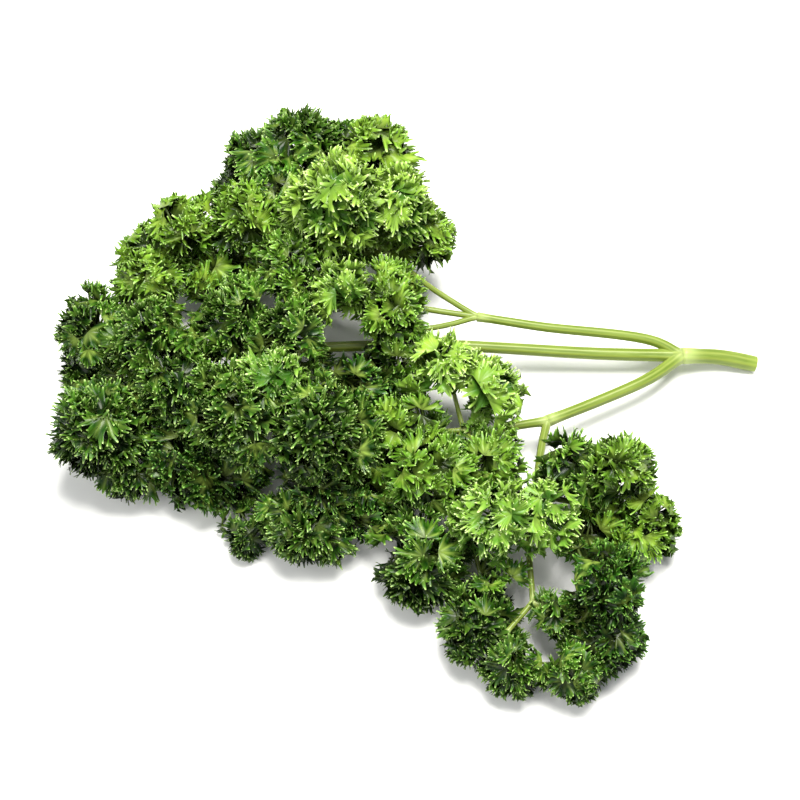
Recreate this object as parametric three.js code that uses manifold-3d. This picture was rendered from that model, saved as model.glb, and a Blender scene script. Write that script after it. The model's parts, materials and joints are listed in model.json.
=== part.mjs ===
// A cut spray of curly parsley lying on a table: one ribbed leaf stalk that forks into an upper,
// a middle and a lower branch, and a head of crisped, toothed leaflets at the end of every stalklet.
// Millimetres, +Z up. The layout is measured from the centre of the cut end, with x running
// from the leaves towards the cut, y across the spray and z above the table.
import * as THREE from 'three';
import { mergeVertices } from 'three/addons/utils/BufferGeometryUtils.js';
import Module from 'manifold-3d';

const wasm = await Module();
wasm.setup();

// ---------------------------------------------------------------- driving dimensions
const TABLE_Z = 0;
const GAP = 0.3; // clear space kept between neighbouring pieces
const NECK_GAP = 0.36; // between the tip of a stalklet and its head
const BLADE_THICKNESS = 0.75;
const CORE_SHARE = 0.5; // radius of a head's packed middle, as a share of the head's radius
const BLADES_PER_MM = 0.72; // leaflets round a head for each millimetre of its radius
const FEWEST_BLADES = 4;
const TOOTH_ANGLE = THREE.MathUtils.degToRad(38); // from one tooth of a leaflet to the next
const CROWN_ANGLE = THREE.MathUtils.degToRad(50); // an upper leaflet's lean from its head's axis
const SKIRT_ANGLE = THREE.MathUtils.degToRad(88); // a lower leaflet's lean
const TWIST = THREE.MathUtils.degToRad(20); // the leaflets of a head are set askew, like a pinwheel
const WAVE = 0.07; // sideways wave of a leaflet's edge, as a share of the head's radius
const NOTCH_REACH = 0.8; // how far out the cuts between the teeth lie, as a share of the radius
const SHORT_TOOTH = 0.9; // reach of the shortest tooth, as a share of the radius
const FOOT = 0.62; // half width of a leaflet's foot on the middle, as a share of the tooth angle
const UNEVEN = 0.2; // how unevenly the leaflets are spaced, as a share of their spacing
const LIFT = 0.5; // how strongly a head turns up towards the light
const RESTS_BELOW = 1.05; // a head centred lower than this many radii lies on the table
const RESTING_DEPTH = 0.5; // what is pressed flat of a resting head's lowest teeth
const SEED = 7;

// Places where the stalk divides: [x, y, z].
const forks = {
  cut: [0, 0, 1.6],
  main: [-17.5, 0.5, 5],
  upper: [-65, 7.5, 11],
  upperTop: [-86.5, 20, 20],
  upperFar: [-101.5, 39, 14],
  upperMiddle: [-106, 17.5, 12],
  upperEnd: [-118, 24, 13],
  upperLow: [-84, 4, 14],
  middleFirst: [-106, 0.5, 9],
  middleSecond: [-119.5, -0.5, 10],
  middleThird: [-133, 0, 11],
  middleEnd: [-146.5, -2.5, 11],
  middleDown: [-106, -18, 17],
  middleFoot: [-105, -36, 11],
  middleUp: [-135.5, 14.5, 13],
  middleUnder: [-134, -17, 11],
  lower: [-49.5, -17.5, 8],
  lowerLeft: [-68.5, -21, 11],
  lowerUnder: [-67, -46, 10],
  lowerDown: [-53, -36.5, 11],
  lowerRight: [-40.5, -39, 11],
  lowerFoot: [-54, -60.5, 8],
  lowerFootLeft: [-60, -67.5, 8],
  lowerFootRight: [-44, -65.5, 9],
};

// Stretches of stalk: radius at the start and at the end, and the places passed through.
const stretches = [
  { radii: [2.0, 1.75], sides: 12, through: ['cut', [-8.5, 1, 3.2], 'main'] },
  { radii: [1.35, 1.05], sides: 10, through: ['main', [-24, 3.5, 6.5], [-50.5, 5.5, 10], 'upper'] },
  { radii: [0.75, 0.6], sides: 6, through: ['upper', [-70.5, 10.5, 12.5], [-76, 13.5, 14.5], 'upperTop'] },
  { radii: [0.6, 0.5], sides: 6, through: ['upperTop', [-93.5, 29.5, 17], 'upperFar'] },
  { radii: [0.75, 0.6], sides: 6, through: ['upper', [-77, 9, 12], [-92, 12, 12], 'upperMiddle'] },
  { radii: [0.6, 0.5], sides: 6, through: ['upperMiddle', 'upperEnd'] },
  { radii: [0.7, 0.6], sides: 6, through: ['upper', [-71.5, 5, 12], [-77, 3.5, 13], 'upperLow'] },
  { radii: [1.6, 1.2], sides: 10, through: ['main', [-36.5, 0.5, 6], [-76, 1.5, 8.5], 'middleFirst'] },
  { radii: [1.2, 0.7], sides: 8, through: ['middleFirst', 'middleSecond', 'middleThird', 'middleEnd'] },
  { radii: [0.75, 0.6], sides: 6, through: ['middleFirst', [-107, -9, 14], 'middleDown'] },
  { radii: [0.65, 0.6], sides: 6, through: ['middleDown', [-105.5, -27.5, 14.5], 'middleFoot'] },
  { radii: [0.75, 0.6], sides: 6, through: ['middleThird', [-134.5, 7.5, 11.5], 'middleUp'] },
  { radii: [0.75, 0.6], sides: 6, through: ['middleThird', [-134, -8.5, 10.5], 'middleUnder'] },
  { radii: [1.5, 1.3], sides: 10, through: ['main', [-25.5, -6, 6.5], [-37.5, -12, 7], 'lower'] },
  { radii: [1.15, 0.8], sides: 8, through: ['lower', [-56, -19, 9], [-62.5, -21, 10], 'lowerLeft'] },
  { radii: [0.75, 0.6], sides: 6, through: ['lowerLeft', [-67.5, -33, 10.5], 'lowerUnder'] },
  { radii: [1.0, 0.8], sides: 8, through: ['lower', [-51, -24, 9], 'lowerDown'] },
  { radii: [0.75, 0.6], sides: 6, through: ['lowerDown', [-46.5, -38, 11], 'lowerRight'] },
  { radii: [0.75, 0.65], sides: 6, through: ['lowerDown', [-54.5, -47, 9], 'lowerFoot'] },
  { radii: [0.65, 0.55], sides: 6, through: ['lowerFoot', 'lowerFootLeft'] },
  { radii: [0.65, 0.55], sides: 6, through: ['lowerFoot', [-49.5, -63, 8.5], 'lowerFootRight'] },
];
const STALKLET_RADII = [0.55, 0.5];
const STALKLET_SIDES = 3;
const STALKLET_START = 0.08; // how far along itself a stalklet leaves the middle of the fork
const STALKLET_BOW = 0.12; // how far it bows down, as a share of its length
const RIB_DEPTH = 0.12; // of a stalk's radius, on stalks of eight sides and more

// Heads of leaflets: the fork that each grows from, its centre, its radius and its shade of green.
const heads = [
  ['upperTop', [-96, 24.5, 32], 11.5, 'young'],
  ['upperTop', [-83, 25.5, 28], 9, 'young'],
  ['upperTop', [-78, 24, 19], 8.5, 'grown'],
  ['upperTop', [-88.5, 46.5, 17], 10.5, 'grown'],
  ['upperFar', [-96.5, 50.5, 16], 7, 'grown'],
  ['upperFar', [-106, 48.5, 19], 11, 'grown'],
  ['upperFar', [-117, 48, 15], 8.5, 'grown'],
  ['upperFar', [-123, 45.5, 4.5], 6, 'grown'],
  ['upperFar', [-110.5, 35.5, 17], 9, 'deep'],
  ['upperEnd', [-118.5, 26.5, 21], 9, 'grown'],
  ['upperEnd', [-124, 19, 8], 10, 'deep'],
  ['upperMiddle', [-105.5, 14.5, 23], 9.5, 'grown'],
  ['upperLow', [-95.5, 5, 27], 7.5, 'young'],
  ['upperLow', [-85.5, 5, 21], 9.5, 'grown'],
  ['upperLow', [-83, -2.5, 15], 6.5, 'grown'],
  ['middleUp', [-133, 25.5, 19], 9, 'grown'],
  ['middleUp', [-140.5, 22.5, 15], 7, 'grown'],
  ['middleUp', [-140.5, 12.5, 18], 8.5, 'grown'],
  ['middleEnd', [-153.5, 3, 15], 8.5, 'grown'],
  ['middleEnd', [-154.5, -3, 6], 8, 'grown'],
  ['middleThird', [-137.5, -4, 24], 9.5, 'grown'],
  ['middleEnd', [-149.5, -24, 18], 12, 'grown'],
  ['middleEnd', [-143.5, -27.5, 8], 10, 'grown'],
  ['middleThird', [-131.5, -15.5, 23], 9.5, 'grown'],
  ['middleUnder', [-131, -26, 8.5], 11.5, 'deep'],
  ['middleUnder', [-122, -30.5, 6], 8, 'deep'],
  ['middleSecond', [-119, -1, 26], 9.5, 'grown'],
  ['middleSecond', [-107.5, -5.5, 28], 8.5, 'grown'],
  ['middleSecond', [-110.5, -16.5, 27], 8.5, 'young'],
  ['middleDown', [-118, -23, 24], 11, 'grown'],
  ['middleDown', [-100.5, -28, 25], 11.5, 'grown'],
  ['middleFoot', [-103, -42, 8.5], 10.5, 'grown'],
  ['middleFoot', [-116.5, -43.5, 4.5], 6, 'grown'],
  ['middleFoot', [-93.5, -39, 6], 8, 'deep'],
  ['middleFirst', [-92, -8.5, 8], 9.5, 'deep'],
  ['lowerLeft', [-86.5, -17.5, 6], 8, 'deep'],
  ['lowerLeft', [-87, -32, 6.5], 8.5, 'deep'],
  ['lowerLeft', [-71.5, -10.5, 17], 9, 'young'],
  ['lowerLeft', [-63, -14, 16], 8.5, 'young'],
  ['lowerLeft', [-79, -22.5, 16], 7.5, 'grown'],
  ['lowerLeft', [-62.5, -31, 18], 8, 'grown'],
  ['lowerLeft', [-75, -35, 18], 9, 'grown'],
  ['lowerDown', [-62.5, -46.5, 20], 9.5, 'young'],
  ['lowerDown', [-53, -43.5, 19], 7.5, 'young'],
  ['lowerDown', [-46.5, -32.5, 17], 8.5, 'grown'],
  ['lowerUnder', [-78.5, -51.5, 9], 11.5, 'grown'],
  ['lowerUnder', [-64, -58, 6.5], 9, 'grown'],
  ['lowerRight', [-35, -33, 17], 9, 'grown'],
  ['lowerRight', [-28.5, -42.5, 6], 8.5, 'grown'],
  ['lowerRight', [-39, -41, 7], 9, 'deep'],
  ['lowerFoot', [-49.5, -64.5, 11], 5, 'grown'],
  ['lowerFootLeft', [-66.5, -66.5, 8], 9.5, 'grown'],
  ['lowerFootLeft', [-58.5, -73.5, 6], 8.5, 'grown'],
  ['lowerFootRight', [-45.5, -75, 6], 8, 'grown'],
  ['lowerFootRight', [-38.5, -68.5, 7.5], 9.5, 'deep'],
  ['lowerFootRight', [-39.5, -60.5, 15], 9.5, 'deep'],
  ['middleThird', [-140.5, -20, 15], 8, 'deep'],
  ['middleDown', [-101, -36, 14], 8.5, 'deep'],
  ['upperTop', [-96.5, 23.5, 17], 7.5, 'deep'],
];

const materials = {
  stalk: new THREE.MeshStandardMaterial({ color: 0x9cb456, roughness: 0.45, metalness: 0 }),
  young: new THREE.MeshStandardMaterial({ color: 0x7fa63a, roughness: 0.5, metalness: 0 }),
  grown: new THREE.MeshStandardMaterial({ color: 0x4c7d22, roughness: 0.5, metalness: 0 }),
  deep: new THREE.MeshStandardMaterial({ color: 0x335c17, roughness: 0.55, metalness: 0 }),
};

// ---------------------------------------------------------------- helpers
const vector = ([x, y, z]) => new THREE.Vector3(x, y, z);
const place = (at) => vector(typeof at === 'string' ? forks[at] : at);
const UP = new THREE.Vector3(0, 0, 1);

// A small seeded generator (mulberry32), so that every build draws the same leaflets.
function seeded(seed) {
  let state = seed;
  return () => {
    state = (state + 0x6d2b79f5) | 0;
    let t = Math.imul(state ^ (state >>> 15), 1 | state);
    t = (t + Math.imul(t ^ (t >>> 7), 61 | t)) ^ t;
    return ((t ^ (t >>> 14)) >>> 0) / 4294967296;
  };
}

function meshGeometry(points, triangles) {
  const geometry = new THREE.BufferGeometry();
  const positions = points.flatMap((point) => point.toArray());
  geometry.setAttribute('position', new THREE.Float32BufferAttribute(positions, 3));
  geometry.setIndex(triangles.flat());
  return geometry;
}

function solidFrom(geometry) {
  const bare = geometry.clone();
  bare.deleteAttribute('normal');
  bare.deleteAttribute('uv');
  const merged = mergeVertices(bare, 1e-4);
  return new wasm.Manifold(new wasm.Mesh({
    numProp: 3,
    vertProperties: new Float32Array(merged.attributes.position.array),
    triVerts: new Uint32Array(merged.index.array),
  }));
}

function geometryFrom(solid) {
  const { numProp, vertProperties, triVerts } = solid.getMesh();
  const positions = [];
  for (let i = 0; i < vertProperties.length; i += numProp) {
    positions.push(...vertProperties.slice(i, i + 3));
  }
  const geometry = new THREE.BufferGeometry();
  geometry.setAttribute('position', new THREE.Float32BufferAttribute(positions, 3));
  geometry.setIndex([...triVerts]);
  geometry.computeVertexNormals();
  return geometry;
}

const joined = (solids) => solids.reduce((all, next) => all.add(next));
const largest = (solid) => solid.decompose().sort((a, b) => b.volume() - a.volume())[0];

// ---------------------------------------------------------------- the stalk
// A closed tapering rod along a smooth curve. Every second corner of a ribbed section is drawn in.
function rod(points, [startRadius, endRadius], sides, steps, grow) {
  const curve = new THREE.CatmullRomCurve3(points, false, 'centripetal');
  const { normals, binormals } = curve.computeFrenetFrames(steps);
  const vertices = [];
  for (let step = 0; step <= steps; step++) {
    const centre = curve.getPointAt(step / steps);
    const radius = THREE.MathUtils.lerp(startRadius, endRadius, step / steps) + grow;
    for (let side = 0; side < sides; side++) {
      const angle = (2 * Math.PI * side) / sides;
      const reach = radius * (sides >= 8 && side % 2 && !grow ? 1 - RIB_DEPTH : 1);
      vertices.push(centre.clone()
        .addScaledVector(normals[step], reach * Math.cos(angle))
        .addScaledVector(binormals[step], reach * Math.sin(angle)));
    }
  }
  const triangles = [];
  for (let step = 0; step < steps; step++) {
    for (let side = 0; side < sides; side++) {
      const next = (side + 1) % sides;
      const [a, b] = [step * sides + side, step * sides + next];
      triangles.push([a, b, a + sides], [b, b + sides, a + sides]);
    }
  }
  for (let side = 1; side < sides - 1; side++) {
    const far = steps * sides;
    triangles.push([0, side + 1, side], [far, far + side, far + side + 1]);
  }
  return meshGeometry(vertices, triangles);
}

// The stalk's whole tree. With grow above 0 it is the space that the leaflets keep clear.
function stalkSolid(placed, grow) {
  const rods = stretches.map(({ radii, sides, through }) => {
    const points = through.map(place);
    return rod(points, radii, sides, points.length, grow);
  });
  for (const { fork, neck, axis } of placed) {
    const bow = fork.clone().lerp(neck, 0.5).addScaledVector(axis, -STALKLET_BOW * fork.distanceTo(neck));
    const start = fork.clone().lerp(bow, STALKLET_START);
    rods.push(rod([start, bow, neck], STALKLET_RADII, STALKLET_SIDES, 2, grow));
  }
  return largest(joined(rods.map(solidFrom))).trimByPlane([0, 0, 1], TABLE_Z);
}

// ---------------------------------------------------------------- a head of leaflets
// A direction from its angle to a head's axis and its angle round that axis.
const direction = (lean, around) => new THREE.Vector3(
  Math.sin(lean) * Math.cos(around), Math.sin(lean) * Math.sin(around), Math.cos(lean));

// One leaflet in its head's own frame: the outline of a fan with three teeth, whose two ends sit
// on the head's middle. Every second leaflet leans further out than the others.
function leafletOutline(number, count, radius, twist, random) {
  const around = (2 * Math.PI * (number + UNEVEN * (random() - 0.5))) / count;
  const lean = number % 2 ? SKIRT_ANGLE : CROWN_ANGLE;
  const outward = direction(lean, around);
  const aside = direction(Math.PI / 2, around + Math.PI / 2).applyAxisAngle(outward, twist);
  const at = (reach, turn, wave) => outward.clone()
    .applyAxisAngle(aside, turn)
    .multiplyScalar(reach * radius)
    .addScaledVector(aside, wave * radius);
  const reach = () => THREE.MathUtils.lerp(SHORT_TOOTH, 1, random());
  const outline = [
    at(CORE_SHARE, -FOOT * TOOTH_ANGLE, 0),
    at(reach(), -TOOTH_ANGLE, WAVE),
    at(NOTCH_REACH, -0.5 * TOOTH_ANGLE, -WAVE),
    at(reach(), 0, WAVE),
    at(NOTCH_REACH, 0.5 * TOOTH_ANGLE, -WAVE),
    at(reach(), TOOTH_ANGLE, WAVE),
    at(CORE_SHARE, FOOT * TOOTH_ANGLE, 0),
  ];
  return { outline, aside };
}

// A head as one closed surface about its own axis: a faceted middle from which the leaflets stand
// out, each split into the same triangles on both faces.
const LEAFLET_FACES = [[0, 1, 2], [0, 2, 6], [2, 4, 6], [2, 3, 4], [4, 5, 6]];
const LAST = 6; // number of a leaflet's last outline point
function headGeometry(index, radius, axis) {
  const random = seeded(SEED + index);
  const count = Math.max(FEWEST_BLADES, Math.round(BLADES_PER_MM * radius));
  const twist = random() < 0.5 ? -TWIST : TWIST;
  const points = [0, Math.PI].map((lean) => direction(lean, 0).multiplyScalar(CORE_SHARE * radius));
  const [top, bottom] = [0, 1];
  const corners = [];
  for (let number = 0; number < count; number++) {
    const { outline, aside } = leafletOutline(number, count, radius, twist, random);
    const sides = [-0.5, 0.5].map((side) => outline.map((point) => {
      points.push(point.clone().addScaledVector(aside, side * BLADE_THICKNESS));
      return points.length - 1;
    }));
    corners.push(sides);
  }
  const triangles = [];
  corners.forEach(([near, far], number) => {
    const next = corners[(number + 1) % count][0];
    for (const [a, b, c] of LEAFLET_FACES) {
      triangles.push([near[a], near[c], near[b]], [far[a], far[b], far[c]]);
    }
    for (let k = 0; k < LAST; k++) {
      triangles.push([near[k], near[k + 1], far[k]], [near[k + 1], far[k + 1], far[k]]);
    }
    triangles.push([far[0], far[LAST], next[0]], [far[LAST], next[LAST], next[0]]);
    triangles.push([top, near[0], far[0]], [top, far[0], next[0]]);
    triangles.push([bottom, far[LAST], near[LAST]], [bottom, next[LAST], far[LAST]]);
  });
  const turn = new THREE.Quaternion().setFromUnitVectors(UP, axis);
  return meshGeometry(points.map((point) => point.applyQuaternion(turn)), triangles);
}

// Where a head's middle, axis and neck are. One that lies low is set down on its lowest teeth.
function placeHead([forkName, centre, radius, shade], index) {
  const fork = place(forkName);
  const middle = vector(centre);
  const axis = middle.clone().sub(fork).normalize().addScaledVector(UP, LIFT).normalize();
  const geometry = headGeometry(index, radius, axis);
  geometry.computeBoundingBox();
  if (middle.z < RESTS_BELOW * radius) {
    middle.z = TABLE_Z - geometry.boundingBox.min.z - RESTING_DEPTH;
  }
  geometry.translate(middle.x, middle.y, middle.z);
  const neck = middle.clone().addScaledVector(axis, -CORE_SHARE * radius - NECK_GAP);
  const branch = forkName.match(/^[a-z]+/)[0];
  return { branch, fork, middle, axis, neck, radius, shade, geometry };
}

// A head keeps to its side of the plane that divides it from each head that it would meet.
function keptApart(head, others) {
  let kept = solidFrom(head.geometry);
  for (const other of others) {
    const between = other.middle.clone().sub(head.middle);
    const distance = between.length();
    if (other === head || distance > head.radius + other.radius + GAP) continue;
    between.normalize();
    const toPlane = (distance ** 2 + head.radius ** 2 - other.radius ** 2) / (2 * distance);
    const offset = between.dot(head.middle) + toPlane - GAP / 2;
    kept = kept.trimByPlane(between.clone().negate().toArray(), -offset);
  }
  return kept.trimByPlane([0, 0, 1], TABLE_Z);
}

// ---------------------------------------------------------------- the spray
function namedMesh(name, solid, material) {
  const mesh = new THREE.Mesh(geometryFrom(solid), material);
  mesh.name = name;
  return mesh;
}

const placedHeads = heads.map(placeHead);
const spray = new THREE.Group();
spray.add(namedMesh('stalk', stalkSolid(placedHeads, 0), materials.stalk));

const clearOfStalk = stalkSolid(placedHeads, GAP);
const counted = {};
for (const head of placedHeads) {
  const solid = largest(keptApart(head, placedHeads).subtract(clearOfStalk));
  counted[head.branch] = (counted[head.branch] ?? 0) + 1;
  const name = `leaflets_${head.branch}_${String(counted[head.branch]).padStart(2, '0')}`;
  spray.add(namedMesh(name, solid, materials[head.shade]));
}

// The origin is under the middle of the spray, on the table.
const middleOfSpray = new THREE.Box3().setFromObject(spray).getCenter(new THREE.Vector3());
spray.position.set(-middleOfSpray.x, -middleOfSpray.y, 0);

export default spray;
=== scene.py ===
"""A cut spray of curly parsley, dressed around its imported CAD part.

The CAD part gives the size, the place of every head of leaflets and the course of the stalk. This
lesson replaces each of those plain solids with a finer piece: a ribbed stalk, and heads built from
crisped, toothed leaflets. Lengths are in millimetres until a mesh is written, in metres.
"""
# %% [markdown]
# ## The frame
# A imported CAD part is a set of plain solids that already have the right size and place. We could
# model the plant from nothing and scale it until it fits, but then nothing would hold the two
# together. Loading the part first and measuring it keeps every new piece in the same frame.

# %% Load the CAD part and measure it
import json
import math

import bpy
import numpy as np
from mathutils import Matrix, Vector


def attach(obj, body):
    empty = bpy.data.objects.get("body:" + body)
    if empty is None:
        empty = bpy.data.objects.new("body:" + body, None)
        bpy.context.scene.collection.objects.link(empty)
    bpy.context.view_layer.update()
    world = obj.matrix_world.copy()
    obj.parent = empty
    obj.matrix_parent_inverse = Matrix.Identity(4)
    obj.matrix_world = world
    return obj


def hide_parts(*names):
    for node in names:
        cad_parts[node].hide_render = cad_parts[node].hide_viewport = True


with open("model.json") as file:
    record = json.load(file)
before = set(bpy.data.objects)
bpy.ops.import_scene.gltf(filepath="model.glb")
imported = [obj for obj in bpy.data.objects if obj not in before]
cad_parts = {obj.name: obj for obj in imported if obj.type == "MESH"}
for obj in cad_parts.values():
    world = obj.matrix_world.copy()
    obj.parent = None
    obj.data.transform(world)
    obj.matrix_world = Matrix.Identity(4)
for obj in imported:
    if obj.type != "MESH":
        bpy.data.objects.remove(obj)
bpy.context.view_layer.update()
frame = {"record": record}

MM = 0.001
slot_of = {part["node"]: part["material_slot"] for part in frame["record"]["subparts"]}
print(len(slot_of), "CAD nodes")

# %% [markdown]
# ## The plan of the plant
# One parsley leaf is a stalk that forks again and again, with a head of crisped leaflets at the
# end of every last fork. The plan below is the one that the CAD part was made from: forks, the
# stretches of stalk between them and heads, all measured from the cut end. A plan of named forks
# is easier to correct than a list of finished curves.

# %% Forks, measured from the cut end
CUT_END = np.array([80.77, 11.62, 0.0])  # where the cut end stands in the frame
FORKS = {
    "cut": (0, 0, 1.6), "main": (-17.5, 0.5, 5),
    "upper": (-65, 7.5, 11), "upperTop": (-86.5, 20, 20), "upperFar": (-101.5, 39, 14),
    "upperMiddle": (-106, 17.5, 12), "upperEnd": (-118, 24, 13), "upperLow": (-84, 4, 14),
    "middleFirst": (-106, 0.5, 9), "middleSecond": (-119.5, -0.5, 10),
    "middleThird": (-133, 0, 11), "middleEnd": (-146.5, -2.5, 11),
    "middleDown": (-106, -18, 17), "middleFoot": (-105, -36, 11),
    "middleUp": (-135.5, 14.5, 13), "middleUnder": (-134, -17, 11),
    "lower": (-49.5, -17.5, 8), "lowerLeft": (-68.5, -21, 11), "lowerUnder": (-67, -46, 10),
    "lowerDown": (-53, -36.5, 11), "lowerRight": (-40.5, -39, 11),
    "lowerFoot": (-54, -60.5, 8), "lowerFootLeft": (-60, -67.5, 8),
    "lowerFootRight": (-44, -65.5, 9),
}


def place(spot):
    """The place in the frame, in mm, of a named fork or of a spot given by numbers."""
    return np.array(FORKS[spot] if isinstance(spot, str) else spot, float) + CUT_END


print(len(FORKS), "forks")

# %% Stretches of stalk: radius at the start and the end, and what they pass through
STRETCHES = [
    (2.0, 1.75, ["cut", (-8.5, 1, 3.2), "main"]),
    (1.35, 1.05, ["main", (-24, 3.5, 6.5), (-50.5, 5.5, 10), "upper"]),
    (0.75, 0.6, ["upper", (-70.5, 10.5, 12.5), (-76, 13.5, 14.5), "upperTop"]),
    (0.6, 0.5, ["upperTop", (-93.5, 29.5, 17), "upperFar"]),
    (0.75, 0.6, ["upper", (-77, 9, 12), (-92, 12, 12), "upperMiddle"]),
    (0.6, 0.5, ["upperMiddle", "upperEnd"]),
    (0.7, 0.6, ["upper", (-71.5, 5, 12), (-77, 3.5, 13), "upperLow"]),
    (1.6, 1.2, ["main", (-36.5, 0.5, 6), (-76, 1.5, 8.5), "middleFirst"]),
    (1.2, 0.7, ["middleFirst", "middleSecond", "middleThird", "middleEnd"]),
    (0.75, 0.6, ["middleFirst", (-107, -9, 14), "middleDown"]),
    (0.65, 0.6, ["middleDown", (-105.5, -27.5, 14.5), "middleFoot"]),
    (0.75, 0.6, ["middleThird", (-134.5, 7.5, 11.5), "middleUp"]),
    (0.75, 0.6, ["middleThird", (-134, -8.5, 10.5), "middleUnder"]),
    (1.5, 1.3, ["main", (-25.5, -6, 6.5), (-37.5, -12, 7), "lower"]),
    (1.15, 0.8, ["lower", (-56, -19, 9), (-62.5, -21, 10), "lowerLeft"]),
    (0.75, 0.6, ["lowerLeft", (-67.5, -33, 10.5), "lowerUnder"]),
    (1.0, 0.8, ["lower", (-51, -24, 9), "lowerDown"]),
    (0.75, 0.6, ["lowerDown", (-46.5, -38, 11), "lowerRight"]),
    (0.75, 0.65, ["lowerDown", (-54.5, -47, 9), "lowerFoot"]),
    (0.65, 0.55, ["lowerFoot", "lowerFootLeft"]),
    (0.65, 0.55, ["lowerFoot", (-49.5, -63, 8.5), "lowerFootRight"]),
]
print(len(STRETCHES), "stretches of stalk")

# %% Heads of leaflets by the fork that they grow from: their centres and their radii
TUFTS = [
    ("upperTop", [(-96, 24.5, 32, 11.5), (-83, 25.5, 28, 9), (-78, 24, 19, 8.5),
                  (-88.5, 46.5, 17, 10.5)]),
    ("upperFar", [(-96.5, 50.5, 16, 7), (-106, 48.5, 19, 11), (-117, 48, 15, 8.5),
                  (-123, 45.5, 4.5, 6), (-110.5, 35.5, 17, 9)]),
    ("upperEnd", [(-118.5, 26.5, 21, 9), (-124, 19, 8, 10)]),
    ("upperMiddle", [(-105.5, 14.5, 23, 9.5)]),
    ("upperLow", [(-95.5, 5, 27, 7.5), (-85.5, 5, 21, 9.5), (-83, -2.5, 15, 6.5)]),
    ("middleUp", [(-133, 25.5, 19, 9), (-140.5, 22.5, 15, 7), (-140.5, 12.5, 18, 8.5)]),
    ("middleEnd", [(-153.5, 3, 15, 8.5), (-154.5, -3, 6, 8)]),
    ("middleThird", [(-137.5, -4, 24, 9.5)]),
    ("middleEnd", [(-149.5, -24, 18, 12), (-143.5, -27.5, 8, 10)]),
    ("middleThird", [(-131.5, -15.5, 23, 9.5)]),
    ("middleUnder", [(-131, -26, 8.5, 11.5), (-122, -30.5, 6, 8)]),
    ("middleSecond", [(-119, -1, 26, 9.5), (-107.5, -5.5, 28, 8.5), (-110.5, -16.5, 27, 8.5)]),
    ("middleDown", [(-118, -23, 24, 11), (-100.5, -28, 25, 11.5)]),
    ("middleFoot", [(-103, -42, 8.5, 10.5), (-116.5, -43.5, 4.5, 6), (-93.5, -39, 6, 8)]),
    ("middleFirst", [(-92, -8.5, 8, 9.5)]),
    ("lowerLeft", [(-86.5, -17.5, 6, 8), (-87, -32, 6.5, 8.5), (-71.5, -10.5, 17, 9),
                   (-63, -14, 16, 8.5), (-79, -22.5, 16, 7.5), (-62.5, -31, 18, 8),
                   (-75, -35, 18, 9)]),
    ("lowerDown", [(-62.5, -46.5, 20, 9.5), (-53, -43.5, 19, 7.5), (-46.5, -32.5, 17, 8.5)]),
    ("lowerUnder", [(-78.5, -51.5, 9, 11.5), (-64, -58, 6.5, 9)]),
    ("lowerRight", [(-35, -33, 17, 9), (-28.5, -42.5, 6, 8.5), (-39, -41, 7, 9)]),
    ("lowerFoot", [(-49.5, -64.5, 11, 5)]),
    ("lowerFootLeft", [(-66.5, -66.5, 8, 9.5), (-58.5, -73.5, 6, 8.5)]),
    ("lowerFootRight", [(-45.5, -75, 6, 8), (-38.5, -68.5, 7.5, 9.5), (-39.5, -60.5, 15, 9.5)]),
    ("middleThird", [(-140.5, -20, 15, 8)]), ("middleDown", [(-101, -36, 14, 8.5)]),
    ("upperTop", [(-96.5, 23.5, 17, 7.5)]),
]
HEADS = [(fork, (x, y, z), radius) for fork, tufts in TUFTS for x, y, z, radius in tufts]
BRANCHES = ("upper", "middle", "lower")
print(len(HEADS), "heads of leaflets")

# %% [markdown]
# ## Surfaces from grids
# Everything on the plant is a grid of points: a stalk is a ring carried along a path, a leaflet is
# a fan of rays. Working with whole arrays keeps this quick and short, because one formula moves
# every point at once. These helpers give a grid the faces of a closed mesh, and carry rings along
# smooth paths. A curve object could do the second too, but puts its rings where it likes.

# %% Directions, the walls of rods and their closed ends
def unit(vectors):
    """Each vector divided by its own length."""
    return vectors / np.linalg.norm(vectors, axis=-1, keepdims=True)


def wall_faces(rings, columns):
    """Four-sided faces between neighbouring rings, whose last column joins the first."""
    index = np.arange(rings * columns).reshape(rings, columns)
    index = np.concatenate([index, index[:, :1]], axis=1)
    corners = [index[:-1, :-1], index[:-1, 1:], index[1:, 1:], index[1:, :-1]]
    return np.stack(corners, axis=-1).reshape(-1, 4)


def cap_faces(ring):
    """Four-sided faces in strips across a flat ring of an even number of points."""
    half, back = len(ring) // 2, ring[::-1]
    return np.stack([ring[:half - 1], ring[1:half], back[1:half], back[:half - 1]], axis=-1)


def rod_faces(rings, columns):
    """The faces of one rod: its wall and its ends."""
    first, last = np.arange(columns), np.arange(columns) + (rings - 1) * columns
    return np.vstack([wall_faces(rings, columns), cap_faces(first[::-1]), cap_faces(last)])


def copies_of(faces, count):
    """The faces of count equal shapes that follow each other in one list of points."""
    starts = (faces.max() + 1) * np.arange(count)[:, None, None]
    return (faces + starts).reshape(-1, faces.shape[1])


print("a rod with 4 rings of 6 has", len(rod_faces(4, 6)), "faces")

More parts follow.
